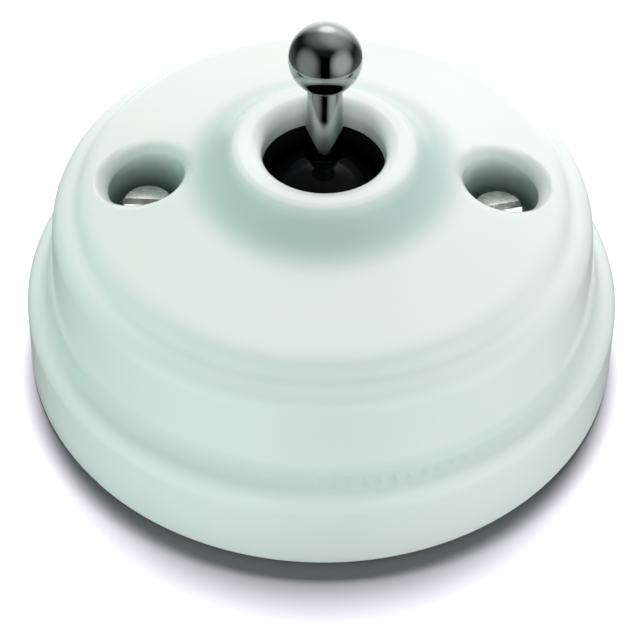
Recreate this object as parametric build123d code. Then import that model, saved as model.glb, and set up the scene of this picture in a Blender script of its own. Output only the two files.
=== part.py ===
from build123d import *
import os
from math import asin, cos, hypot, radians, sin, sqrt

# A round surface switch in glazed porcelain, worked by a ball-tipped lever.
# Millimetres. The back of the switch lies on Z = 0 with +Z out of the wall.
# The two cover screws stand on the X axis and the lever swings along Y.

# Screws, washers and threaded bushes
thread_radius = 1.45
thread_clearance = 0.05
shank_clearance = 0.3
screw_tip = 0.5
cover_screw_head_radius = 2.8
cover_screw_head_height = 1.8
cover_screw_length = 8.0
cover_screw_turns = (-1.5, 15.0)
head_chamfer = 0.3
slot_width = 0.9
slot_depth = 0.9
washer_margin = 0.5
washer_thickness = 0.5
bush_wall = 1.05
cover_bush_length = 6.0
body_bush_length = 3.5
body_screw_length = 5.5
body_screw_turn = 50.0
pan_head_radius = 2.75
pan_head_height = 1.9
pan_head_chamfer = 0.6
lock_washer_thickness = 0.6
plate_screw_radius = 1.2
plate_screw_head_radius = 2.3
plate_screw_length = 7.0
plate_screw_turn = 35.0
plate_slot_width = 0.6

# Clearances between pieces
fit_clearance = 0.02
running_clearance = 0.06
side_gap = 0.3
crown_gap = 0.3
collar_gap = 0.3
plate_gap = 0.5
base_gap = 0.5
mechanism_gap = 1.2
well_gap = 1.7
cable_gap = 1.4
rocker_end_gap = 0.9
rocker_pass_gap = 0.05
bracket_gap = 0.35
contact_gap = 0.1
pin_end_gap = 0.3

# Terminals, strips and rivets
block_width = 5.2
block_length = 6.0
block_height = 6.6
block_edge = 0.4
wire_hole_radius = 1.5
terminal_screw_head_radius = 2.3
terminal_screw_head_height = 1.7
terminal_screw_stand = 1.4
terminal_screw_length = 3.6
terminal_screw_turns = (20.0, 75.0, -40.0)
strip_thickness = 0.8
strip_start = 4.6
rivet_radius = 0.8
rivet_head_radius = 1.3
rivet_head_height = 0.5
rivet_y = 7.2

# Rocking contact
rocker_tilt = 8.0
rocker_thickness = 0.9
rocker_half_width = 2.6
rocker_end_half_width = 1.9
rocker_end_margin = 0.2
rocker_waist = 1.4
trunnion_radius = 0.4
trunnion_margin = 0.45
bracket_half_length = 2.4
bracket_above_fulcrum = 0.7
contact_offset = 6.4
contact_radius = 1.5
contact_depth = 0.6
contact_stem_radius = 0.7
contact_stem_head = 0.2

# Lever and its dolly
tilt = 18.0
lever_length = 19.1
ball_radius = 3.83
neck_radius = 1.84
neck_root_radius = 2.0
neck_root = 7.2
tail_radius = 1.5
tail_length = 2.0
crown_overlap = 2.2
crown_wall = 1.9
crown_margin = 3.0
hub_radius = 2.9
barrel_wall = 1.2
barrel_reach = 2.8
pin_radius = 1.0
pin_inner_end = 5.5

# Toggle spring and plunger
spring_coil_radius = 1.5
spring_wire = 0.4
spring_turns = 5
spring_side_gap = 0.4
spring_bore_top = 4.4
plunger_top = -0.4
plunger_body_length = 2.2
plunger_reach = 4.8
plunger_tip_radius = 1.2

# Mechanism body and its top plate
body_corner = 1.6
cheek_thickness = 2.6
end_wall = 1.3
partition_wall = 1.0
partition_half_width = 1.9
cavity_margin = 0.1
wire_window = 4.4
ear_offset = 2.8
ear_y = 11.0
ear_radius = 3.6
ear_thickness = 3.0
plate_thickness = 2.0
plate_edge = 0.5
collar_wall = 1.9
access_radius = 2.9

# Cover, stepped outwards from the mechanism that it clears
dome_wall = 3.0
band_wall = 3.1
skirt_wall = 3.1
dome_slope = 4.1
dome_lean = 0.7
upper_ledge = 2.9
band_lean = 1.2
lower_ledge = 2.35
skirt_lean = 0.35
lever_hole_radius = 6.4
rim_wall = 2.9
trough_spread = 3.1

# Cover, stacked upwards from its foot
shoulder_height = 9.4
lower_step_rise = 0.9
band_rise = 9.6
upper_step_rise = 0.7
dome_edge_rise = 2.0
dome_rise = 2.5
rim_rise = 3.1
rim_depth = 2.9

# Rounding of the cover's edges
foot_round = 0.6
shoulder_round = 2.6
lower_step_round = 1.0
band_round = 2.2
dome_foot_round = 1.3
dome_edge_round = 2.6
dome_round = 7.0
trough_round = 3.4
rim_round = 1.5
well_round = 0.8
inner_round = 1.0

# Screw wells in the cover
well_radius = 4.0
well_wall = 2.4
well_depth = 7.8
well_floor_thickness = 3.0

# Base
base_thickness = 5.0
base_edge = 0.7
base_relief_radius = 15.0
base_relief_depth = 1.2
boss_radius = 4.6
boss_round = 1.0
wall_slot_offset = 22.5
wall_slot_length = 7.0
wall_slot_width = 4.4
wall_pad_width = 10.0
wall_pad_thickness = 3.2
cable_hole_radius = 4.2

# How far cutting shapes run past the faces that they open
cut_margin = 1.0

# Mechanism body, from what it holds
rocker_half_length = contact_offset + contact_radius + rocker_end_margin
cavity_half_length = rocker_half_length + rocker_end_gap
chamber_side = partition_half_width + block_width + 2 * side_gap
cavity_half_width = chamber_side + cavity_margin
dolly_half_width = cavity_half_width - side_gap
body_half_width = cavity_half_width + cheek_thickness
chamber_start = cavity_half_length + partition_wall
chamber_end = chamber_start + block_length + 2 * side_gap
body_half_length = chamber_end + end_wall
block_x = (partition_half_width + chamber_side) / 2
block_y = (chamber_start + chamber_end) / 2
ear_x = body_half_width + ear_offset

# Cover radii and heights
dome_edge_radius = hypot(body_half_width, body_half_length) + mechanism_gap + dome_wall
dome_top_radius = dome_edge_radius - dome_slope
dome_foot_radius = dome_edge_radius + dome_lean
band_top_radius = dome_foot_radius + upper_ledge
band_foot_radius = band_top_radius + band_lean
shoulder_radius = band_foot_radius + lower_ledge
foot_radius = shoulder_radius + skirt_lean
rim_outer_radius = lever_hole_radius + rim_wall
trough_radius = rim_outer_radius + trough_spread
lower_step_height = shoulder_height + lower_step_rise
band_top_height = lower_step_height + band_rise
dome_foot_height = band_top_height + upper_step_rise
dome_edge_height = dome_foot_height + dome_edge_rise
dome_top_height = dome_edge_height + dome_rise
rim_height = dome_top_height + rim_rise
lever_hole_under = rim_height - rim_depth

# Wells and base
well_offset = body_half_width + well_gap + well_wall + well_radius
well_floor_height = dome_top_height - well_depth
well_under = well_floor_height - well_floor_thickness
cover_head_under = well_floor_height + washer_thickness
base_radius = foot_radius - skirt_wall - base_gap
cable_hole_offset = body_half_width + cable_gap + cable_hole_radius
wall_pad_start = body_half_length + side_gap

# Fits and heights of the mechanism
hole_radius = thread_radius + thread_clearance
bush_radius = hole_radius + bush_wall
washer_radius = cover_screw_head_radius + washer_margin
spring_bore_radius = spring_coil_radius + spring_wire / 2 + spring_side_gap
barrel_radius = spring_bore_radius + barrel_wall
crown_radius = lever_hole_radius + crown_overlap
trunnion_end = rocker_half_width + bracket_gap + strip_thickness + trunnion_margin
pivot_height = lever_hole_under - crown_gap - crown_radius
fulcrum_height = pivot_height - plunger_reach - rocker_pass_gap - rocker_thickness / 2
contact_drop = (rocker_thickness / 2 + contact_depth) * cos(radians(rocker_tilt)) + (
    contact_offset + contact_radius
) * sin(radians(rocker_tilt))
strip_top = fulcrum_height - contact_drop - contact_gap - contact_depth
floor_height = strip_top - strip_thickness
plate_top = dome_top_height - dome_wall - plate_gap
body_top = plate_top - plate_thickness
wire_height = strip_top + block_height / 2
moving_tilt = Pos(0, 0, pivot_height) * Rot(-tilt, 0, 0)
rocker_place = Pos(0, 0, fulcrum_height) * Rot(rocker_tilt, 0, 0)


def outline(points):
    """Close a list of (radius, height) points into a face on the XZ plane."""
    return make_face(Plane.XZ * Polyline(*points, close=True))


def round_corner(face, point, radius):
    """Round the corner of a profile that lies at (radius, height)."""
    target = Vector(point[0], 0, point[1])
    corner = min(face.vertices(), key=lambda vertex: (Vector(*vertex) - target).length)
    return fillet(corner, radius)


def turned(points, rounds=()):
    """Revolve a profile about Z, with a list of (point, radius) rounded first."""
    face = outline(points)
    for point, radius in rounds:
        face = round_corner(face, point, radius)
    return revolve(face, Axis.Z)


def rod(radius, bottom, top, x=0.0, y=0.0):
    """A round bar along Z between two heights."""
    return Pos(x, y, (bottom + top) / 2) * Cylinder(radius, top - bottom)


def block(x_range, y_range, z_range):
    """A box between two corners."""
    centre = [(low + high) / 2 for low, high in (x_range, y_range, z_range)]
    size = [high - low for low, high in (x_range, y_range, z_range)]
    return Pos(*centre) * Box(*size)


def edges_on_bar(solid, radius, lowest, x=0.0):
    """The edges that lie on a bar along Z at (x, 0), above a height."""
    found = []
    for edge in solid.edges():
        points = [edge @ place for place in (0, 0.3, 0.6, 1)]
        on_bar = all(abs(hypot(point.X - x, point.Y) - radius) < 0.01 for point in points)
        if on_bar and min(point.Z for point in points) > lowest:
            found.append(edge)
    return found


def slotted_screw(head_radius, head_height, length, turn, chamfer_size=head_chamfer):
    """A slotted cheese-head screw whose head stands on Z = 0."""
    head = turned(
        [
            (0, 0),
            (head_radius, 0),
            (head_radius, head_height - chamfer_size),
            (head_radius - chamfer_size, head_height),
            (0, head_height),
        ]
    )
    slot_length = 2 * (head_radius + cut_margin)
    slot = Pos(0, 0, head_height - slot_depth / 2) * Box(slot_length, slot_width, slot_depth)
    head -= Rot(0, 0, turn) * slot
    shank = turned(
        [
            (0, 0),
            (thread_radius, 0),
            (thread_radius, screw_tip - length),
            (thread_radius - screw_tip, -length),
            (0, -length),
        ]
    )
    return head + shank


def wells(radius, bottom, top):
    """A pair of round bars on the two cover screws' axes."""
    return [rod(radius, bottom, top, side * well_offset) for side in (-1, 1)]


def build_cover():
    """One glazed porcelain bell: skirt, band, dome, rim and two screw wells."""
    outside = [
        (0, 0),
        (foot_radius, 0),
        (shoulder_radius, shoulder_height),
        (band_foot_radius, lower_step_height),
        (band_top_radius, band_top_height),
        (dome_foot_radius, dome_foot_height),
        (dome_edge_radius, dome_edge_height),
        (dome_top_radius, dome_top_height),
        (trough_radius, dome_top_height),
        (rim_outer_radius, rim_height),
        (0, rim_height),
    ]
    outer_rounds = [
        foot_round,
        shoulder_round,
        lower_step_round,
        band_round,
        dome_foot_round,
        dome_edge_round,
        dome_round,
        trough_round,
        rim_round,
    ]
    bell = turned(outside, list(zip(outside[1:], outer_rounds)))

    skirt_inner = foot_radius - skirt_wall
    band_inner = band_foot_radius - band_wall
    band_inner_top = band_top_radius - band_wall
    dome_inner = dome_edge_radius - dome_wall
    dome_under = dome_top_height - dome_wall
    ledge_under = band_top_height - dome_wall
    inside = [
        (0, 0),
        (skirt_inner, 0),
        (skirt_inner - skirt_lean, shoulder_height - skirt_wall),
        (band_inner, lower_step_height - skirt_wall),
        (band_inner_top, ledge_under),
        (dome_inner, ledge_under),
        (dome_inner, dome_edge_height - dome_wall),
        (dome_top_radius - dome_wall / 2, dome_under),
        (trough_radius, dome_under),
        (lever_hole_radius + collar_wall + plate_gap, lever_hole_under),
        (0, lever_hole_under),
    ]
    rounded = [point for point in inside if 0 < point[1] < lever_hole_under and point[0] < skirt_inner]
    hollow = turned(inside, [(point, inner_round) for point in rounded])

    tube_radius = well_radius + well_wall
    hollow -= wells(tube_radius, well_under, dome_top_height)
    for side in (-1, 1):
        web = sorted((side * well_offset, side * (band_foot_radius - band_wall / 2)))
        hollow -= block(web, (-tube_radius, tube_radius), (well_under, ledge_under))
    bell -= hollow

    bell -= wells(well_radius, well_floor_height, rim_height)
    bell -= wells(thread_radius + shank_clearance, well_under, well_floor_height)
    mouths = []
    for side in (-1, 1):
        mouths += edges_on_bar(bell, well_radius, well_floor_height + cut_margin, side * well_offset)
    bell = fillet(mouths, well_round)

    bell -= rod(lever_hole_radius, lever_hole_under - cut_margin, rim_height + cut_margin)
    return fillet(edges_on_bar(bell, lever_hole_radius, lever_hole_under + cut_margin), rim_round)


def build_cover_screws():
    """Two slotted screws, as they were left by the screwdriver."""
    screws = []
    for side, turn in zip((-1, 1), cover_screw_turns):
        screw = slotted_screw(cover_screw_head_radius, cover_screw_head_height, cover_screw_length, turn)
        screws.append(Pos(side * well_offset, 0, cover_head_under) * screw)
    return screws


def build_washers():
    """Fibre washers that keep the screw heads off the glaze."""
    washer = rod(washer_radius, 0, washer_thickness)
    washer -= rod(thread_radius + shank_clearance, 0, washer_thickness)
    return [Pos(side * well_offset, 0, well_floor_height) * washer for side in (-1, 1)]


def bush(length):
    """A threaded brass bush hanging down from Z = 0."""
    return rod(bush_radius, -length, 0) - rod(hole_radius, -length, 0)


def ear_places():
    """The two fixing ears of the mechanism stand on opposite corners."""
    return [(ear_x, ear_y), (-ear_x, -ear_y)]


def build_base():
    """Porcelain base with screw bosses, wall slots and two cable holes."""
    rim = base_radius - base_edge
    base = turned(
        [
            (0, 0),
            (rim, 0),
            (base_radius, base_edge),
            (base_radius, base_thickness - base_edge),
            (rim, base_thickness),
            (0, base_thickness),
        ]
    )
    base -= rod(base_relief_radius, 0, base_relief_depth)
    for side in (-1, 1):
        boss = rod(boss_radius, base_thickness, well_under, side * well_offset)
        base += boss
        pad = sorted((side * wall_pad_start, side * (base_radius + cut_margin)))
        pad_width = (-wall_pad_width / 2, wall_pad_width / 2)
        base -= block(pad_width, pad, (wall_pad_thickness, base_thickness + cut_margin))
        slot = Rot(0, 0, 90) * SlotOverall(wall_slot_length, wall_slot_width)
        base -= extrude(Pos(0, side * wall_slot_offset) * slot, base_thickness)
        hole_place = side * cable_hole_offset
        base -= rod(cable_hole_radius, 0, base_thickness, hole_place, -hole_place)
        bush_bottom = well_under - cover_bush_length
        base -= rod(bush_radius + fit_clearance, bush_bottom, well_under, side * well_offset)
        pocket_bottom = min(cover_head_under - cover_screw_length, bush_bottom) - cut_margin
        base -= rod(hole_radius + shank_clearance, pocket_bottom, bush_bottom, side * well_offset)
    roots = [
        edge
        for edge in base.edges().filter_by(GeomType.CIRCLE)
        if abs(edge.radius - boss_radius) < 0.01 and abs(edge.center().Z - base_thickness) < 0.01
    ]
    base = fillet(roots, boss_round)
    bush_seat = base_thickness - body_bush_length
    for x, y in ear_places():
        base -= rod(bush_radius + fit_clearance, bush_seat, base_thickness, x, y)
        base -= rod(hole_radius + shank_clearance, 0, bush_seat, x, y)
    return base


def tail_width(x_side, grow=0.0):
    """The width of a strip's tail, which lies under its terminal block."""
    inner = x_side * (block_x - block_width / 2 - grow)
    outer = x_side * (block_x + block_width / 2 + grow)
    return sorted((inner, outer))


def terminal_places():
    """Line terminals on one diagonal, the common one beside the lower."""
    return [(block_x, block_y), (-block_x, -block_y), (block_x, -block_y)]


def rivet_places():
    """One rivet holds each strip to the floor of the body."""
    return [(block_x, rivet_y), (-block_x, -rivet_y), (block_x, -rivet_y)]


def build_body():
    """Black moulded body: cheeks for the pivot, cavity and terminal chambers."""
    width = (-body_half_width, body_half_width)
    length = (-body_half_length, body_half_length)
    body = block(width, length, (base_thickness, body_top))
    body = fillet(body.edges().filter_by(Axis.Z), body_corner)
    for side, (x, y) in zip((1, -1), ear_places()):
        ear_top = base_thickness + ear_thickness
        body += rod(ear_radius, base_thickness, ear_top, x, y)
        reach = sorted((side * (body_half_width - cheek_thickness / 2), x))
        body += block(reach, (y - ear_radius, y + ear_radius), (base_thickness, ear_top))
    for x, y in ear_places():
        body -= rod(thread_radius + shank_clearance, base_thickness, base_thickness + ear_thickness, x, y)

    cavity = (-cavity_half_width, cavity_half_width)
    body -= block(cavity, (-cavity_half_length, cavity_half_length), (floor_height, body_top))
    for x_side in (-1, 1):
        for y_side in (-1, 1):
            x_range = sorted((x_side * partition_half_width, x_side * chamber_side))
            y_range = sorted((y_side * chamber_start, y_side * chamber_end))
            body -= block(x_range, y_range, (floor_height, body_top))
            window = Box(wire_window, 2 * (end_wall + cut_margin), wire_window)
            body -= Pos(x_side * block_x, y_side * body_half_length, wire_height) * window
    for side in (-1, 1):
        screw_end = body_top - plate_screw_length
        body -= rod(plate_screw_radius + thread_clearance, screw_end, body_top, 0, side * block_y)
    for x, y in terminal_places():
        tunnel = sorted((cavity_half_length * y / block_y, y))
        body -= block(tail_width(x / block_x, side_gap), tunnel, (floor_height, strip_top + side_gap))
    head_top = base_thickness + rivet_head_height
    for x, y in rivet_places():
        body -= rod(rivet_radius + fit_clearance, base_thickness, floor_height, x, y)
        body -= rod(rivet_head_radius + fit_clearance, base_thickness, head_top, x, y)
    pin_hole = cross_bar(pin_radius + fit_clearance, -body_half_width, body_half_width)
    return body - Pos(0, 0, pivot_height) * pin_hole


def build_top_plate():
    """Black lid of the mechanism with the collar that the crown turns in."""
    width = (-body_half_width, body_half_width)
    length = (-body_half_length, body_half_length)
    plate = block(width, length, (body_top, plate_top))
    plate = fillet(plate.edges().filter_by(Axis.Z), body_corner)
    plate = chamfer(plate.edges().group_by(Axis.Z)[-1], plate_edge)
    collar_top = lever_hole_under - collar_gap
    plate += rod(lever_hole_radius + collar_wall, body_top, collar_top)
    plate -= rod(lever_hole_radius, pivot_height, collar_top)
    plate -= Pos(0, 0, pivot_height) * Sphere(crown_radius + crown_gap)
    sink = plate_screw_head_radius - plate_screw_radius
    for side in (-1, 1):
        y = side * block_y
        plate -= rod(plate_screw_radius + thread_clearance, body_top, plate_top, 0, y)
        cone = Cone(plate_screw_radius + thread_clearance, plate_screw_head_radius + thread_clearance, sink)
        plate -= Pos(0, y, plate_top - sink / 2) * cone
        for x in (-block_x, block_x):
            plate -= rod(access_radius, body_top, plate_top, x, y)
    return plate


def build_plate_screws():
    """Two countersunk screws through the lid into the partition walls."""
    sink = plate_screw_head_radius - plate_screw_radius
    length = plate_screw_length
    screw = turned(
        [
            (0, 0),
            (plate_screw_head_radius, 0),
            (plate_screw_radius, -sink),
            (plate_screw_radius, plate_screw_radius / 2 - length),
            (plate_screw_radius / 2, -length),
            (0, -length),
        ]
    )
    screw -= Box(2 * (plate_screw_head_radius + cut_margin), plate_slot_width, slot_depth)
    turn = plate_screw_turn
    return [Pos(0, side * block_y, plate_top) * Rot(0, 0, side * turn) * screw for side in (-1, 1)]


def build_body_screws():
    """Two pan-head screws that hold the mechanism down on the base."""
    seat = base_thickness + ear_thickness + lock_washer_thickness
    screw = slotted_screw(
        pan_head_radius, pan_head_height, body_screw_length, body_screw_turn, pan_head_chamfer
    )
    return [Pos(x, y, seat) * screw for x, y in ear_places()]


def build_lock_washers():
    """Spring washers under the pan heads."""
    washer = rod(pan_head_radius, 0, lock_washer_thickness)
    washer -= rod(thread_radius + shank_clearance, 0, lock_washer_thickness)
    return [Pos(x, y, base_thickness + ear_thickness) * washer for x, y in ear_places()]


def build_lever():
    """Turned lever: ball, neck and the tail that is fixed in the dolly."""
    neck_top = lever_length - sqrt(ball_radius**2 - neck_radius**2)
    tail_bottom = neck_root - tail_length
    neck = turned(
        [
            (0, tail_bottom),
            (tail_radius, tail_bottom),
            (tail_radius, neck_root),
            (neck_root_radius, neck_root),
            (neck_radius, neck_top),
            (0, lever_length),
        ]
    )
    return moving_tilt * (neck + Pos(0, 0, lever_length) * Sphere(ball_radius))


def build_dolly():
    """Black moulded dolly: domed crown, pivot hub and spring barrel."""
    edge_angle = asin(lever_hole_radius / crown_radius) + radians(tilt + crown_margin)
    crown = Sphere(crown_radius) - Sphere(crown_radius - crown_wall)
    width = (-dolly_half_width, dolly_half_width)
    crown &= block(width, (-crown_radius, crown_radius), (crown_radius * cos(edge_angle), crown_radius))
    hub = Rot(0, 90, 0) * Cylinder(hub_radius, 2 * dolly_half_width)
    barrel = rod(barrel_radius, -barrel_reach, crown_radius - crown_wall / 2)
    dolly = crown + hub + barrel
    dolly -= rod(spring_bore_radius, -crown_radius, spring_bore_top)
    dolly -= rod(tail_radius + fit_clearance, neck_root - tail_length, neck_root)
    dolly -= rod(neck_root_radius + fit_clearance, neck_root, crown_radius)
    for side in (-1, 1):
        hole_end = side * (pin_inner_end - pin_end_gap)
        dolly -= cross_bar(pin_radius + running_clearance, hole_end, side * dolly_half_width)
    return moving_tilt * dolly


def cross_bar(radius, start, end):
    """A round bar along X between two places."""
    return Pos((start + end) / 2, 0, 0) * Rot(0, 90, 0) * Cylinder(radius, abs(end - start))


def build_pins():
    """Two steel pins, pressed into the cheeks, that the dolly turns on."""
    return [
        Pos(0, 0, pivot_height) * cross_bar(pin_radius, side * pin_inner_end, side * body_half_width)
        for side in (-1, 1)
    ]


def build_spring():
    """Compression spring between the barrel's blind end and the plunger."""
    start = plunger_top + spring_wire / 2 + fit_clearance
    height = spring_bore_top - spring_wire / 2 - fit_clearance - start
    path = Helix(height / spring_turns, height, spring_coil_radius)
    section = Plane(path @ 0, z_dir=path % 0) * Circle(spring_wire / 2)
    return moving_tilt * Pos(0, 0, start) * sweep(section, path=path)


def build_plunger():
    """Steel plunger whose round nose pushes the rocking contact over."""
    body_radius = spring_bore_radius - running_clearance
    shoulder = plunger_top - plunger_body_length
    nose_centre = plunger_tip_radius - plunger_reach
    body = turned(
        [
            (0, plunger_top),
            (body_radius, plunger_top),
            (body_radius, shoulder),
            (plunger_tip_radius, shoulder),
            (plunger_tip_radius, nose_centre),
            (0, nose_centre),
        ]
    )
    return moving_tilt * (body + Pos(0, 0, nose_centre) * Sphere(plunger_tip_radius))


def contact_places():
    """The silver contacts stand at equal distances from the fulcrum."""
    return [(0, -contact_offset), (0, contact_offset)]


def build_rocker():
    """Pressed brass rocking contact with a trunnion on each side."""
    waist = rocker_waist
    neck = waist + rocker_half_width - rocker_end_half_width
    quarter = [
        (rocker_half_width, waist),
        (rocker_end_half_width, neck),
        (rocker_end_half_width, rocker_half_length),
    ]
    left = [(-x, y) for x, y in reversed(quarter)]
    upper = quarter + left
    lower = [(-x, -y) for x, y in upper]
    bar = make_face(Polyline(*upper, *lower, close=True))
    bar = fillet(bar.vertices().group_by(Axis.Y)[0] + bar.vertices().group_by(Axis.Y)[-1], contact_radius)
    rocker = extrude(bar, rocker_thickness / 2, both=True)
    rocker += cross_bar(trunnion_radius, -trunnion_end, trunnion_end)
    for x, y in contact_places():
        rocker -= rod(contact_stem_radius + fit_clearance, -rocker_thickness, rocker_thickness, x, y)
    return rocker_place * rocker


def build_moving_contacts():
    """Silver rivets set through the ends of the rocking contact."""
    half = rocker_thickness / 2
    contacts = []
    for x, y in contact_places():
        contact = rod(contact_radius, -half - contact_depth, -half, x, y)
        contact += rod(contact_stem_radius, -half, half, x, y)
        contact += rod(contact_stem_radius + contact_stem_head, half, half + contact_stem_head, x, y)
        contacts.append(rocker_place * contact)
    return contacts


def rivet_hole(x, y):
    """The hole that a strip's rivet goes through."""
    return rod(rivet_radius + fit_clearance, floor_height, strip_top, x, y)


def build_common_strip():
    """Brass strip folded up into two ears with notches for the trunnions."""
    inner = rocker_half_width + bracket_gap
    outer = inner + strip_thickness
    on_floor = (floor_height, strip_top)
    y_range = (-bracket_half_length, bracket_half_length)
    strip = block((-outer, outer), y_range, on_floor)
    for side in (-1, 1):
        ear = sorted((side * inner, side * outer))
        strip += block(ear, y_range, (floor_height, fulcrum_height + bracket_above_fulcrum))
    run_end = side_gap - cavity_half_length
    strip += block((inner, block_x + block_width / 2), (run_end, bracket_half_length), on_floor)
    strip += block(tail_width(1), (-block_y - block_length / 2, run_end), on_floor)
    notch_radius = trunnion_radius + running_clearance
    strip -= Pos(0, 0, fulcrum_height) * cross_bar(notch_radius, -outer, outer)
    above = (fulcrum_height, fulcrum_height + 2 * bracket_above_fulcrum)
    strip -= block((-outer, outer), (-notch_radius, notch_radius), above)
    return strip - rivet_hole(*rivet_places()[2])


def build_contact_strip(side):
    """Brass strip with a pad for its contact and a tail for its terminal."""
    on_floor = (floor_height, strip_top)
    x_range = sorted((-side * partition_half_width, side * (block_x + block_width / 2)))
    pad_end = cavity_half_length - side_gap
    strip = block(x_range, sorted((side * strip_start, side * pad_end)), on_floor)
    tail_end = side * (block_y + block_length / 2)
    strip += block(tail_width(side), sorted((side * pad_end, tail_end)), on_floor)
    return strip - rivet_hole(side * block_x, side * rivet_y)


def build_fixed_contacts():
    """Silver faces on the two contact strips."""
    return [rod(contact_radius, strip_top, strip_top + contact_depth, x, y) for x, y in contact_places()]


def build_rivets():
    """Rivets that hold the strips to the floor of the body."""
    rivets = []
    for x, y in rivet_places():
        rivet = rod(rivet_radius, base_thickness, strip_top, x, y)
        rivet += rod(rivet_head_radius, strip_top, strip_top + rivet_head_height, x, y)
        rivet += rod(rivet_head_radius, base_thickness, base_thickness + rivet_head_height, x, y)
        rivets.append(rivet)
    return rivets


def build_terminal_blocks():
    """Drawn brass blocks, each with a wire hole and a tapped hole over it."""
    blocks = []
    for x, y in terminal_places():
        centre = Pos(x, y, wire_height)
        terminal = centre * Box(block_width, block_length, block_height)
        terminal = chamfer(terminal.edges().filter_by(Axis.Y), block_edge)
        terminal -= centre * Rot(90, 0, 0) * Cylinder(wire_hole_radius, block_length)
        terminal -= rod(hole_radius, wire_height, strip_top + block_height, x, y)
        blocks.append(terminal)
    return blocks


def build_terminal_screws():
    """Clamp screws, backed off so that the wire holes are open."""
    seat = strip_top + block_height + terminal_screw_stand
    screws = []
    for (x, y), turn in zip(terminal_places(), terminal_screw_turns):
        screw = slotted_screw(
            terminal_screw_head_radius, terminal_screw_head_height, terminal_screw_length, turn
        )
        screws.append(Pos(x, y, seat) * screw)
    return screws


def as_one(shapes):
    """Group separate solids of one kind under one name."""
    if not isinstance(shapes, list):
        return shapes
    return Compound(children=[solid for shape in shapes for solid in shape.solids()])


parts = {
    "cover": build_cover(),
    "cover_screws": build_cover_screws(),
    "cover_screw_washers": build_washers(),
    "base": build_base(),
    "cover_bushes": [Pos(side * well_offset, 0, well_under) * bush(cover_bush_length) for side in (-1, 1)],
    "mechanism_body": build_body(),
    "mechanism_screws": build_body_screws(),
    "mechanism_washers": build_lock_washers(),
    "mechanism_bushes": [Pos(x, y, base_thickness) * bush(body_bush_length) for x, y in ear_places()],
    "top_plate": build_top_plate(),
    "top_plate_screws": build_plate_screws(),
    "lever": build_lever(),
    "dolly": build_dolly(),
    "pivot_pins": build_pins(),
    "toggle_spring": build_spring(),
    "plunger": build_plunger(),
    "contact_rocker": build_rocker(),
    "moving_contacts": build_moving_contacts(),
    "common_strip": build_common_strip(),
    "upper_contact_strip": build_contact_strip(1),
    "lower_contact_strip": build_contact_strip(-1),
    "fixed_contacts": build_fixed_contacts(),
    "strip_rivets": build_rivets(),
    "terminal_blocks": build_terminal_blocks(),
    "terminal_screws": build_terminal_screws(),
}

os.makedirs("parts", exist_ok=True)
for name, shape in parts.items():
    export_step(as_one(shape), f"parts/{name}.step")
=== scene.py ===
import bmesh
import bpy
from math import acos, cos, hypot, radians, sin, tan
from mathutils import Matrix, Vector


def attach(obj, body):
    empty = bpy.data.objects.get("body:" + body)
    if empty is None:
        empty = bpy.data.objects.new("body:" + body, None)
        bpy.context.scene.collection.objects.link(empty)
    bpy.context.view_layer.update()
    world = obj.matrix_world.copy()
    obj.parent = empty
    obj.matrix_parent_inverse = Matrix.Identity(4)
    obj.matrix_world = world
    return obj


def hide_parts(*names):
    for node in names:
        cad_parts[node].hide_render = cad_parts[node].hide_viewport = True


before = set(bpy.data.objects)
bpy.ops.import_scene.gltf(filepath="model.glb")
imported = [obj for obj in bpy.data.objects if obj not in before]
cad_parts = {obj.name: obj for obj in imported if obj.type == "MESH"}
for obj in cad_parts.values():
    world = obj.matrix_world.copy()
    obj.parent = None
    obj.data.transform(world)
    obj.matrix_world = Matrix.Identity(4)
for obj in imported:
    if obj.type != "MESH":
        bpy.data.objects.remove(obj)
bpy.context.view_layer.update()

# Base
# The real piece is a pressed porcelain disc with two bosses, fired without glaze, that screws to the
# wall and carries the mechanism. Its clay is dry, matt and faintly warm, with fine iron specks.

bisque_colour = (0.80, 0.775, 0.72)
bisque_shade = (0.70, 0.67, 0.61)
bisque_speck = (0.30, 0.24, 0.17)
bisque_grain = 0.00025
bisque_speck_spacing = 0.0035
bisque_speck_radius = 0.00018


def finish(name, colour, roughness, metallic=0.0):
    """A material with one shader, whose even values stand on the shader's own sockets."""
    material = bpy.data.materials.new(name)
    material.use_nodes = True
    shader = material.node_tree.nodes["Principled BSDF"]
    shader.inputs["Base Color"].default_value = (*colour, 1.0)
    shader.inputs["Roughness"].default_value = roughness
    shader.inputs["Metallic"].default_value = metallic
    return material, shader


def place_on_piece(material, stretch=(1.0, 1.0, 1.0)):
    """The piece's own coordinates in metres, stretched where a pattern runs one way."""
    nodes, links = material.node_tree.nodes, material.node_tree.links
    place = nodes.new("ShaderNodeTexCoord")
    turn = nodes.new("ShaderNodeMapping")
    turn.inputs["Scale"].default_value = stretch
    links.new(place.outputs["Object"], turn.inputs["Vector"])
    return turn.outputs["Vector"]


def mottle(material, place, size, detail=2.0):
    """Soft noise whose blotches are about one size across."""
    nodes, links = material.node_tree.nodes, material.node_tree.links
    noise = nodes.new("ShaderNodeTexNoise")
    noise.inputs["Scale"].default_value = 1.0 / size
    noise.inputs["Detail"].default_value = detail
    links.new(place, noise.inputs["Vector"])
    return noise.outputs["Fac"]


def from_to(material, value, low, high, first, last):
    """Carry a value from one range to another, held at its ends."""
    nodes, links = material.node_tree.nodes, material.node_tree.links
    spread = nodes.new("ShaderNodeMapRange")
    spread.interpolation_type = "SMOOTHSTEP"
    spread.inputs["From Min"].default_value = low
    spread.inputs["From Max"].default_value = high
    spread.inputs["To Min"].default_value = first
    spread.inputs["To Max"].default_value = last
    links.new(value, spread.inputs["Value"])
    return spread.outputs["Result"]


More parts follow.
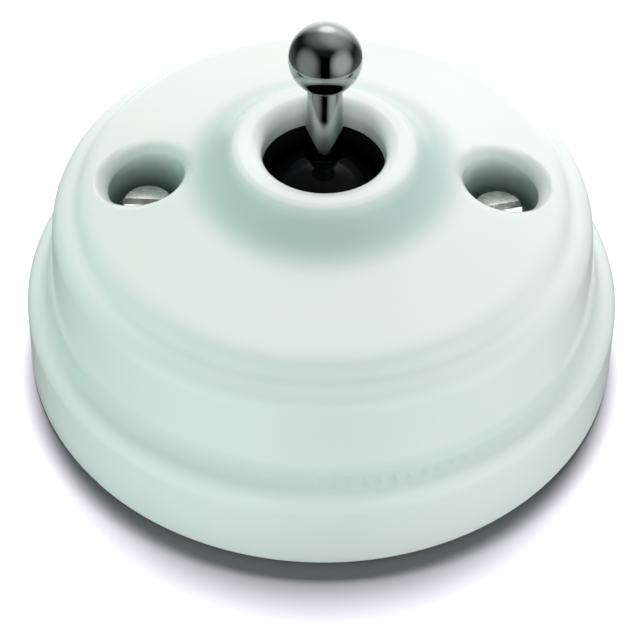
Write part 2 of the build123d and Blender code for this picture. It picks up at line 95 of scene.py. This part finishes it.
def two_colours(material, share, first, last):
    """Mix two colours, or a colour already mixed and a new one, by a share."""
    nodes, links = material.node_tree.nodes, material.node_tree.links
    mix = nodes.new("ShaderNodeMix")
    mix.data_type = "RGBA"
    links.new(share, mix.inputs["Factor"])
    for colour, socket in ((first, mix.inputs[6]), (last, mix.inputs[7])):
        if isinstance(colour, bpy.types.NodeSocket):
            links.new(colour, socket)
        else:
            socket.default_value = (*colour, 1.0)
    return mix.outputs[2]


def uneven_gloss(material, shader, pattern, pattern_range, roughness_range):
    """Let the roughness wander between two values with a pattern."""
    roughness = from_to(material, pattern, *pattern_range, *roughness_range)
    material.node_tree.links.new(roughness, shader.inputs["Roughness"])


def relief(material, shader, height, depth):
    """Raise the surface by a depth in metres where the height is 1."""
    nodes, links = material.node_tree.nodes, material.node_tree.links
    bump = nodes.new("ShaderNodeBump")
    bump.inputs["Distance"].default_value = depth
    links.new(height, bump.inputs["Height"])
    links.new(bump.outputs["Normal"], shader.inputs["Normal"])


def specks(material, place, spacing, radius):
    """1 in scattered round specks and 0 between them."""
    nodes, links = material.node_tree.nodes, material.node_tree.links
    cells = nodes.new("ShaderNodeTexVoronoi")
    cells.inputs["Scale"].default_value = 1.0 / spacing
    links.new(place, cells.inputs["Vector"])
    share = radius / spacing
    return from_to(material, cells.outputs["Distance"], share * 0.5, share, 1.0, 0.0)


def dress(node, material):
    """Give a CAD node's slots their finish."""
    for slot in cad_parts[node].material_slots:
        slot.material = material


def bisque():
    material, shader = finish("bisque_porcelain", bisque_colour, 0.85)
    links = material.node_tree.links
    place = place_on_piece(material)
    shade = from_to(material, mottle(material, place, 0.008, 4.0), 0.35, 0.75, 0.0, 0.6)
    colour = two_colours(material, shade, bisque_colour, bisque_shade)
    dots = specks(material, place, bisque_speck_spacing, bisque_speck_radius)
    colour = two_colours(material, dots, colour, bisque_speck)
    links.new(colour, shader.inputs["Base Color"])
    uneven_gloss(material, shader, mottle(material, place, 0.002), (0.3, 0.7), (0.75, 0.92))
    relief(material, shader, mottle(material, place, bisque_grain, 3.0), 0.00003)
    return material


dress("base", bisque())

# Bushes, strips, terminals and the rocking contact
# Drawn and pressed brass: threaded bushes set in the porcelain, three strips riveted to the body, the
# drawn terminal blocks, and the contact that rocks between them. Handling has dulled it a little.

brass_colour = (0.76, 0.55, 0.25)
brass_dull = (0.52, 0.36, 0.16)
draw_lines = (1.0, 12.0, 12.0)


def brass():
    material, shader = finish("brass", brass_colour, 0.32, 1.0)
    links = material.node_tree.links
    place = place_on_piece(material)
    dull = from_to(material, mottle(material, place, 0.0035, 4.0), 0.4, 0.75, 0.0, 0.8)
    links.new(two_colours(material, dull, brass_colour, brass_dull), shader.inputs["Base Color"])
    lines = mottle(material, place_on_piece(material, draw_lines), 0.0012, 3.0)
    uneven_gloss(material, shader, lines, (0.3, 0.7), (0.22, 0.45))
    relief(material, shader, lines, 0.000006)
    return material


brass_finish = brass()
for node in (
    "cover_bushes",
    "mechanism_bushes",
    "contact_rocker",
    "common_strip",
    "upper_contact_strip",
    "lower_contact_strip",
    "strip_rivets",
    "terminal_blocks",
):
    dress(node, brass_finish)

# Contacts
# Silver faces on the strips and silver rivets through the rocking contact, which the switching spark
# has marked with small grey blotches.

silver_colour = (0.86, 0.85, 0.82)
silver_spark = (0.30, 0.29, 0.28)


def silver():
    material, shader = finish("silver", silver_colour, 0.28, 1.0)
    links = material.node_tree.links
    place = place_on_piece(material)
    spark = from_to(material, mottle(material, place, 0.0011, 4.0), 0.5, 0.72, 0.0, 0.7)
    links.new(two_colours(material, spark, silver_colour, silver_spark), shader.inputs["Base Color"])
    uneven_gloss(material, shader, mottle(material, place, 0.0004), (0.3, 0.7), (0.2, 0.42))
    return material


silver_finish = silver()
dress("moving_contacts", silver_finish)
dress("fixed_contacts", silver_finish)

# Mechanism body and its lid
# Two black phenolic mouldings: the body with its cheeks and terminal chambers, and the lid with the
# collar under the cover's rim. They come from the mould with a low sheen and a trace of flow.

moulding_colour = (0.010, 0.010, 0.011)
moulding_flow = (0.018, 0.017, 0.018)


def black_moulding():
    material, shader = finish("black_moulding", moulding_colour, 0.38)
    shader.inputs["Specular IOR Level"].default_value = 0.3
    links = material.node_tree.links
    place = place_on_piece(material)
    flow = from_to(material, mottle(material, place, 0.006, 5.0), 0.4, 0.7, 0.0, 1.0)
    links.new(two_colours(material, flow, moulding_colour, moulding_flow), shader.inputs["Base Color"])
    uneven_gloss(material, shader, mottle(material, place, 0.0015), (0.3, 0.7), (0.3, 0.5))
    relief(material, shader, mottle(material, place, 0.0003, 2.0), 0.000012)
    return material


moulding_finish = black_moulding()
dress("mechanism_body", moulding_finish)
dress("top_plate", moulding_finish)

# Pivot pins, spring washers, toggle spring and plunger
# Ground and hardened steel that turns, presses and slides, bright under a film of oil.

steel_colour = (0.50, 0.49, 0.47)
steel_blue = (0.30, 0.31, 0.34)


def spring_steel():
    material, shader = finish("spring_steel", steel_colour, 0.3, 1.0)
    links = material.node_tree.links
    place = place_on_piece(material)
    heat = from_to(material, mottle(material, place, 0.002, 3.0), 0.35, 0.7, 0.0, 0.7)
    links.new(two_colours(material, heat, steel_colour, steel_blue), shader.inputs["Base Color"])
    uneven_gloss(material, shader, mottle(material, place, 0.0006), (0.3, 0.7), (0.22, 0.4))
    return material


steel_finish = spring_steel()
for node in ("mechanism_washers", "pivot_pins", "toggle_spring", "plunger"):
    dress(node, steel_finish)

# Screws
# Turned brass screws with bright nickel plate. The driver has left the slots a little rubbed, and the
# plate is dulled where the heads were gripped.

nickel_colour = (0.78, 0.79, 0.77)
nickel_dull = (0.52, 0.53, 0.52)


def nickel():
    material, shader = finish("nickel", nickel_colour, 0.24, 1.0)
    links = material.node_tree.links
    place = place_on_piece(material)
    dull = from_to(material, mottle(material, place, 0.0012, 4.0), 0.42, 0.72, 0.0, 0.8)
    links.new(two_colours(material, dull, nickel_colour, nickel_dull), shader.inputs["Base Color"])
    marks = mottle(material, place_on_piece(material, (1.0, 14.0, 1.0)), 0.0015, 4.0)
    uneven_gloss(material, shader, marks, (0.35, 0.7), (0.16, 0.4))
    relief(material, shader, marks, 0.000008)
    return material


nickel_finish = nickel()
for node in ("cover_screws", "mechanism_screws", "top_plate_screws", "terminal_screws"):
    dress(node, nickel_finish)

# Washers under the cover screws
# Punched vulcanised fibre, dark and slightly hairy at the edge, that keeps the heads off the glaze.

fibre_colour = (0.045, 0.035, 0.030)
fibre_light = (0.11, 0.085, 0.07)


def fibre():
    material, shader = finish("fibre", fibre_colour, 0.8)
    links = material.node_tree.links
    place = place_on_piece(material, (1.0, 4.0, 1.0))
    strands = mottle(material, place, 0.0005, 4.0)
    hair = from_to(material, strands, 0.45, 0.75, 0.0, 1.0)
    links.new(two_colours(material, hair, fibre_colour, fibre_light), shader.inputs["Base Color"])
    relief(material, shader, strands, 0.00003)
    return material


dress("cover_screw_washers", fibre())

# Lever
# One turned piece, ball, neck and tail, polished and plated in black nickel. It stands in the dolly, and
# its colour is painted nearly black towards the opening, as painted shade where it goes down into the
# hole.

black_nickel_colour = (0.40, 0.43, 0.42)
black_nickel_deep = (0.33, 0.36, 0.35)
# Painted shade where the lever goes down into the hole: its colour turns nearly black between these two
# heights.
black_nickel_painted_shade = (0.05, 0.055, 0.055)
painted_shade_top = 0.0290
painted_shade_bottom = 0.0255


def height_of(material, place):
    """How high a spot stands above the back of the switch."""
    parts = material.node_tree.nodes.new("ShaderNodeSeparateXYZ")
    material.node_tree.links.new(place, parts.inputs["Vector"])
    return parts.outputs["Z"]


def black_nickel():
    material, shader = finish("black_nickel", black_nickel_colour, 0.07, 1.0)
    links = material.node_tree.links
    place = place_on_piece(material)
    deep = from_to(material, mottle(material, place, 0.005, 3.0), 0.3, 0.7, 0.0, 1.0)
    colour = two_colours(material, deep, black_nickel_colour, black_nickel_deep)
    # Painted shade: below the opening's rim the lever's colour turns nearly black.
    low = from_to(material, height_of(material, place), painted_shade_bottom, painted_shade_top, 1.0, 0.0)
    links.new(two_colours(material, low, colour, black_nickel_painted_shade), shader.inputs["Base Color"])
    uneven_gloss(material, shader, mottle(material, place, 0.0012, 4.0), (0.4, 0.75), (0.05, 0.14))
    return material


dress("lever", black_nickel())

# Dolly
# The moulding that carries the lever and turns on the pins. Its domed crown is buffed to a mirror
# gloss, because it slides under the collar in full view.

crown_colour = (0.003, 0.003, 0.004)
crown_flow = (0.006, 0.006, 0.007)


def polished_moulding():
    material, shader = finish("polished_moulding", crown_colour, 0.06)
    shader.inputs["Specular IOR Level"].default_value = 0.06
    links = material.node_tree.links
    place = place_on_piece(material)
    flow = from_to(material, mottle(material, place, 0.004, 4.0), 0.4, 0.7, 0.0, 1.0)
    links.new(two_colours(material, flow, crown_colour, crown_flow), shader.inputs["Base Color"])
    uneven_gloss(material, shader, mottle(material, place, 0.001, 4.0), (0.4, 0.75), (0.04, 0.12))
    return material


dress("dolly", polished_moulding())

# Cover
# One bell of white porcelain, turned and pressed, dipped in a clear glaze, fired, and held by two screws
# in its wells. Its dome falls from the collar to the edge, and its steps and well mouths are softer than
# the solid's. The glaze is painted darker and greener at the collar's foot, in the lower step and in the
# wells, partly as pooled glaze and partly as painted shade.

rim_turn = (0.0093, 0.0282, 0.0015)
solid_outline = (
    (0.0324, 0.0, 0.0006),
    (0.03205, 0.0094, 0.0026),
    (0.0297, 0.0103, 0.0010),
    (0.0285, 0.0199, 0.0022),
    (0.0256, 0.0206, 0.0013),
    (0.0249, 0.0226, 0.0026),
    (0.0208, 0.0251, 0.0070),
    (0.0124, 0.0251, 0.0034),
    rim_turn,
)
shown_outline = (
    (0.0324, 0.0, 0.0006),
    (0.03205, 0.00915, 0.0026),
    (0.0296, 0.01045, 0.0022),
    (0.0283, 0.0201, 0.0027),
    (0.0261, 0.02095, 0.0021),
    (0.0249, 0.0226, 0.0033),
    (0.0208, 0.023426, 0.0070),
    (0.0120, 0.0252, 0.0070),
    rim_turn,
)
round_steps = 12
finest_edge = 0.0011
well_offset = 0.01845
well_radius = 0.0040
solid_mouth = 0.0008
shown_mouth = 0.0013
mouth_reach = 0.0078
straight_foot = 0.0020
well_floor = 0.0173

least_turn = 0.02
outside_gap = 0.0003
inside_gap = 0.0006
dome_bottom = 0.0222
crease = 35

glaze_colour = (0.835, 0.845, 0.835)
glaze_cool = (0.80, 0.83, 0.815)
# Darker, greener glaze: partly pooled glaze, partly painted shade at the collar's foot and in the lower
# step.
pooled_glaze_and_painted_shade = (0.53, 0.63, 0.60)
# Painted shade in the wells, partly pooled glaze: a dark, green colour inside each well.
pooled_glaze_and_painted_well_shade = (0.30, 0.41, 0.38)
glaze_speck = (0.20, 0.17, 0.13)
glaze_speck_spacing = 0.014
glaze_speck_radius = 0.00016
# Where the painted shade rings lie: radius limits round the collar's foot, height limits in the lower
# step.
collar_rise = (0.0088, 0.0105)
collar_fall = (0.0118, 0.0158)
step_rise = (0.0092, 0.0106)
step_fall = (0.0108, 0.0128)
# Height in the wells above which the painted shade eases to a quarter.
well_light = 0.0240


def rounded_line(corners, straight_reach=0.0019):
    """Points along the outside, from the foot in, with the same number on each rounded corner."""
    spots = [Vector(corner[:2]) for corner in corners]
    points = [spots[0]]
    for before, corner, after, size in zip(spots, spots[1:], spots[2:], [spot[2] for spot in corners[1:]]):
        come, leave = (corner - before).normalized(), (after - corner).normalized()
        turn = acos(min(1.0, come.dot(leave)))
        reach = size * tan(turn / 2) if turn > least_turn else straight_reach
        first, last = corner - come * reach, corner + leave * reach
        for step in range(round_steps + 1):
            share = step / round_steps
            if turn > least_turn:
                inward = leave - come
                centre = corner + inward.normalized() * (size / cos(turn / 2))
                arm = (first - centre) * sin((1 - share) * turn) + (last - centre) * sin(share * turn)
                points.append(centre + arm / sin(turn))
            else:
                points.append(first.lerp(last, share))
    points.append(spots[-1])
    return points


def height_on(points, radius):
    """How high the outside stands at a radius."""
    for low, high in zip(points, points[1:]):
        if high.x <= radius <= low.x:
            share = (low.x - radius) / max(low.x - high.x, 1e-9)
            return low.y + (high.y - low.y) * share
    return points[-1].y if radius < points[-1].x else points[0].y


def carried(spot, points, new_points):
    """Move a spot on one outside to the same place on the other, or None if it isn't on it."""
    best, found = outside_gap, None
    for place, (low, high) in enumerate(zip(points, points[1:])):
        run = high - low
        share = max(0.0, min(1.0, (spot - low).dot(run) / max(run.length_squared, 1e-12)))
        gap = (spot - low - run * share).length
        if gap < best:
            best, found = gap, new_points[place].lerp(new_points[place + 1], share)
    return found


def shown_outside(place, before, after):
    """Carry a spot from the solid's outside to the shown one; any other spot stays where it is."""
    radius = hypot(place.x, place.y)
    if radius < rim_turn[0] or place.z < straight_foot:
        return place
    spot = carried(Vector((radius, place.z)), before, after)
    if spot is None:
        return place
    return Vector((place.x * spot.x / radius, place.y * spot.x / radius, spot.y))


def shown_place(place, before, after):
    """Where a spot of the solid goes: in a well, round a well's mouth or elsewhere outside."""
    side = well_offset if place.x > 0 else -well_offset
    away = hypot(place.x - side, place.y)
    depth = height_on(before, hypot(place.x, place.y)) - place.z
    in_well = away < well_radius + solid_mouth and place.z > well_floor - 1e-6
    if not in_well and (away > mouth_reach or depth > inside_gap):
        return shown_outside(place, before, after)
    edge, new_edge = well_radius + solid_mouth, well_radius + shown_mouth
    grown = shown_mouth / solid_mouth
    if away > edge:
        share = (away - edge) / (mouth_reach - edge)
        new_away = new_edge + (mouth_reach - new_edge) * share
    else:
        share = 0.0
        new_away = well_radius + (away - well_radius) * grown if away > well_radius else away
    spread = new_away / away if away > 0 else 1.0
    x, y = side + (place.x - side) * spread, place.y * spread
    top = height_on(after, hypot(x, y))
    if away > edge:
        blend = share * share * (3 - 2 * share)
        return Vector((x, y, top)).lerp(shown_outside(place, before, after), blend)
    depth = max(0.0, depth)
    if depth <= solid_mouth:
        return Vector((x, y, top - depth * grown))
    run = place.z + depth - well_floor - solid_mouth
    new_run = top - well_floor - shown_mouth
    return Vector((x, y, top - shown_mouth - (depth - solid_mouth) * new_run / run))


def on_top(edge):
    """Whether an edge lies in the dome, where the long flat faces are."""
    middle = (edge.verts[0].co + edge.verts[1].co) / 2
    return middle.z > dome_bottom and hypot(middle.x, middle.y) > rim_turn[0]


def shown_cover():
    """A copy of the solid, its dome sloped and its steps and well mouths softened."""
    shape = bmesh.new()
    shape.from_mesh(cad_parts["cover"].data)
    bmesh.ops.remove_doubles(shape, verts=shape.verts, dist=1e-6)
    for _ in range(3):
        long = [edge for edge in shape.edges if edge.calc_length() > finest_edge and on_top(edge)]
        bmesh.ops.subdivide_edges(shape, edges=long, cuts=1)
        bmesh.ops.triangulate(shape, faces=[face for face in shape.faces if len(face.verts) > 3])
    before, after = rounded_line(solid_outline), rounded_line(shown_outline)
    for vertex in shape.verts:
        vertex.co = shown_place(vertex.co.copy(), before, after)
    for edge in shape.edges:
        edge.smooth = edge.calc_face_angle(0.0) < radians(crease)
    for face in shape.faces:
        face.smooth = True
        face.material_index = 0
    mesh = bpy.data.meshes.new("porcelain_cover")
    shape.to_mesh(mesh)
    shape.free()
    if "custom_normal" in mesh.attributes:
        mesh.attributes.remove(mesh.attributes["custom_normal"])
    piece = bpy.data.objects.new("porcelain_cover", mesh)
    bpy.context.scene.collection.objects.link(piece)
    even = piece.modifiers.new("even_shine", "WEIGHTED_NORMAL")
    even.keep_sharp = True
    return piece


def worked_out(owner, first, last, operation="MULTIPLY"):
    """Work out two values, each a number or a socket."""
    nodes, links = owner.node_tree.nodes, owner.node_tree.links
    result = nodes.new("ShaderNodeMath")
    result.operation = operation
    for value, socket in ((first, result.inputs[0]), (last, result.inputs[1])):
        if isinstance(value, bpy.types.NodeSocket):
            links.new(value, socket)
        else:
            socket.default_value = value
    return result.outputs["Value"]


def vector_step(owner, operation, first, second=None):
    """One step of vector arithmetic with a fixed second vector."""
    step = owner.node_tree.nodes.new("ShaderNodeVectorMath")
    step.operation = operation
    owner.node_tree.links.new(first, step.inputs[0])
    if second is not None:
        step.inputs[1].default_value = second
    return step


def band(material, value, rise, fall, height=1.0):
    """A value that rises between two limits and falls between two others."""
    up = from_to(material, value, *rise, 0.0, height)
    return worked_out(material, up, from_to(material, value, *fall, 1.0, 0.0))


def glazed_porcelain():
    material, shader = finish("porcelain", glaze_colour, 0.12)
    shader.inputs["IOR"].default_value = 1.5
    place = place_on_piece(material)
    flat = vector_step(material, "MULTIPLY", place, (1.0, 1.0, 0.0)).outputs["Vector"]
    radius = vector_step(material, "LENGTH", flat).outputs["Value"]
    side = vector_step(material, "ABSOLUTE", flat).outputs["Vector"]
    from_well = vector_step(material, "DISTANCE", side, (well_offset, 0.0, 0.0)).outputs["Value"]
    height = height_of(material, place)

    cool = from_to(material, mottle(material, place, 0.022, 2.0), 0.35, 0.7, 0.0, 1.0)
    colour = two_colours(material, cool, glaze_colour, glaze_cool)
    # Pooled glaze and painted shade: a darker, greener ring round the collar's foot.
    colour = two_colours(material, band(material, radius, collar_rise, collar_fall), colour, pooled_glaze_and_painted_shade)
    # Painted shade in the wells, partly pooled glaze: darker and greener inside each well, most at its
    # floor.
    in_well = from_to(material, from_well, well_radius, well_radius + shown_mouth, 1.0, 0.0)
    well_shade_share = from_to(material, height, well_floor, well_light, 1.0, 0.25)
    colour = two_colours(material, worked_out(material, in_well, well_shade_share), colour, pooled_glaze_and_painted_well_shade)
    # Pooled glaze and painted shade: a lighter darkening in the lower step.
    colour = two_colours(material, band(material, height, step_rise, step_fall, 0.35), colour, pooled_glaze_and_painted_shade)
    dots = specks(material, place, glaze_speck_spacing, glaze_speck_radius)
    colour = two_colours(material, dots, colour, glaze_speck)
    material.node_tree.links.new(colour, shader.inputs["Base Color"])
    uneven_gloss(material, shader, mottle(material, place, 0.006, 3.0), (0.35, 0.7), (0.10, 0.17))
    relief(material, shader, mottle(material, place, 0.009, 1.5), 0.00006)
    return material


cover_piece = shown_cover()
cover_piece.data.materials.clear()
cover_piece.data.materials.append(glazed_porcelain())
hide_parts("cover")
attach(cover_piece, "housing")

# Table and studio
# A white sheet under the switch. Six soft lamps light the switch alone, and one high behind it lights
# the sheet alone, for the narrow shadow. Polished surfaces mirror soft glows that only they see, and the
# camera stands at the photograph's angle.

sheet_half_width = 1.5
white = (1.0, 1.0, 1.0)
fill_colour = (0.90, 1.0, 0.965)
sheet_colour = (0.10, 0.11, 0.107)
seen_colour = (0.275, 0.265, 0.285)
air_strength = 0.351
studio_glows = (
    (172, 12, 8, 50, 1.1),
    (177, 38, 0, 22, 1.2),
    (180, 62, 10, 62, 0.35),
    (180, -15, 5, 40, 0.8),
    (135, 52, 5, 55, 0.55),
    (54, 10, 0, 46, 0.95),
    (300, 6, 0, 48, 0.5),
    (0, -90, 40, 100, 0.25),
)
studio_dark = 0.02
dark_bar = 0.26
bar_top = 0.45
lamp_distance = 0.6
sheet_lamp_distance = 3.0
studio_lamps = (
    ("back_lamp", 180, 40, 0.35, 0.30, 3.0, (1.0, 0.955, 0.965)),
    ("front_lamp", 0, 12, 0.50, 0.20, 1.55, (0.90, 1.0, 0.96)),
    ("right_lamp", 95, 12, 0.30, 0.20, 1.34, (0.95, 0.96, 1.0)),
    ("right_front_lamp", 50, 15, 0.35, 0.25, 0.24, (0.7, 1.0, 0.9)),
    ("left_lamp", 265, 12, 0.30, 0.20, 0.56, (0.66, 1.0, 0.89)),
    ("left_front_lamp", 285, 20, 0.30, 0.30, 0.57, (0.60, 1.0, 0.89)),
)


def set_sheet():
    bpy.ops.mesh.primitive_plane_add(size=2 * sheet_half_width)
    sheet = bpy.context.object
    sheet.name = "white_sheet"
    sheet.location.z = -0.00002
    material, shader = finish("sheet_paper", sheet_colour, 0.9)
    nodes, links = material.node_tree.nodes, material.node_tree.links
    path = nodes.new("ShaderNodeLightPath")
    matt = nodes.new("ShaderNodeBsdfDiffuse")
    tone = two_colours(material, path.outputs["Is Camera Ray"], sheet_colour, seen_colour)
    links.new(tone, matt.inputs["Color"])
    links.new(matt.outputs["BSDF"], nodes["Material Output"].inputs["Surface"])
    sheet.data.materials.append(material)
    sheet.visible_glossy = False


def way(turn, height):
    """A direction, turned about Z from the camera's side and raised, both in degrees."""
    flat = cos(radians(height))
    return Vector((flat * sin(radians(turn)), -flat * cos(radians(turn)), sin(radians(height))))


def glow(world, ray, turn, height, inner, outer, strength):
    """A round soft glow in the studio, full within one angle of its middle and gone at another."""
    near = vector_step(world, "DOT_PRODUCT", ray, way(turn, height)).outputs["Value"]
    return from_to(world, near, cos(radians(outer)), cos(radians(inner)), 0.0, strength)


def set_world():
    world = bpy.data.worlds.new("studio_air")
    bpy.context.scene.world = world
    world.use_nodes = True
    nodes, links = world.node_tree.nodes, world.node_tree.links
    place = nodes.new("ShaderNodeTexCoord")
    ray = place.outputs["Generated"]
    light = studio_dark
    for lamp in studio_glows:
        light = worked_out(world, light, glow(world, ray, *lamp), "ADD")
    side = nodes.new("ShaderNodeSeparateXYZ")
    links.new(ray, side.inputs["Vector"])
    across = worked_out(world, side.outputs["X"], 0.0, "ABSOLUTE")
    across = worked_out(world, across, side.outputs["Y"], "MAXIMUM")
    above = worked_out(world, side.outputs["Z"], -bar_top, "ADD")
    across = worked_out(world, across, above, "MAXIMUM")
    mirrored = worked_out(world, light, from_to(world, across, dark_bar * 0.75, dark_bar, 0.0, 1.0))
    path = nodes.new("ShaderNodeLightPath")
    air = nodes["Background"]
    air.inputs["Color"].default_value = (*fill_colour, 1.0)
    air.inputs["Strength"].default_value = air_strength
    studio = nodes.new("ShaderNodeBackground")
    links.new(mirrored, studio.inputs["Strength"])
    in_metal = nodes.new("ShaderNodeMixShader")
    links.new(path.outputs["Is Glossy Ray"], in_metal.inputs["Fac"])
    links.new(air.outputs["Background"], in_metal.inputs[1])
    links.new(studio.outputs["Background"], in_metal.inputs[2])
    behind = nodes.new("ShaderNodeBackground")
    behind.inputs["Color"].default_value = (*white, 1.0)
    seen = worked_out(world, path.outputs["Is Camera Ray"], path.outputs["Is Transmission Ray"], "MAXIMUM")
    mix = nodes.new("ShaderNodeMixShader")
    links.new(seen, mix.inputs["Fac"])
    links.new(in_metal.outputs["Shader"], mix.inputs[1])
    links.new(behind.outputs["Background"], mix.inputs[2])
    links.new(mix.outputs["Shader"], nodes["World Output"].inputs["Surface"])


def lit_together(name, pieces):
    """A set of pieces that a lamp shines on."""
    lit = bpy.data.collections.new(name)
    for piece in pieces:
        lit.objects.link(piece)
    return lit


def soft_lamp(name, turn, height, width, tall, power, lit, colour, distance):
    """A soft lamp in a direction from the switch that shines on one set of pieces."""
    lamp = bpy.data.lights.new(name, "AREA")
    lamp.shape = "RECTANGLE"
    lamp.size = width
    lamp.size_y = tall
    lamp.energy = power
    lamp.color = colour
    piece = bpy.data.objects.new(name, lamp)
    bpy.context.scene.collection.objects.link(piece)
    away = way(turn, height)
    piece.location = away * distance + Vector((0.0, 0.0, 0.01))
    piece.rotation_euler = away.to_track_quat("Z", "Y").to_euler()
    piece.light_linking.receiver_collection = lit
    piece.visible_glossy = False


def set_camera():
    view = bpy.data.cameras.new("view")
    view.lens = 112.5
    view.sensor_width = 36.0
    view.clip_start = 0.01
    camera = bpy.data.objects.new("view", view)
    bpy.context.scene.collection.objects.link(camera)
    place = Matrix.Translation((-0.0001306, -0.152252, 0.166145))
    look = Matrix.Rotation(radians(90.0 - 47.205), 4, "X")
    roll = Matrix.Rotation(radians(0.9), 4, "Z")
    camera.matrix_world = place @ look @ roll
    bpy.context.scene.camera = camera


set_sheet()
set_world()
solid_pieces = [piece for piece in bpy.context.scene.objects if piece.type == "MESH"]
switch_pieces = lit_together("switch", [piece for piece in solid_pieces if piece.name != "white_sheet"])
sheet_pieces = lit_together("sheet", [piece for piece in solid_pieces if piece.name == "white_sheet"])
for name, turn, height, width, tall, power, colour in studio_lamps:
    soft_lamp(name, turn, height, width, tall, power, switch_pieces, colour, lamp_distance)
soft_lamp("sheet_lamp", 180, 66, 1.05, 1.05, 430.0, sheet_pieces, white, sheet_lamp_distance)
set_camera()
bpy.context.scene.view_settings.view_transform = "Standard"
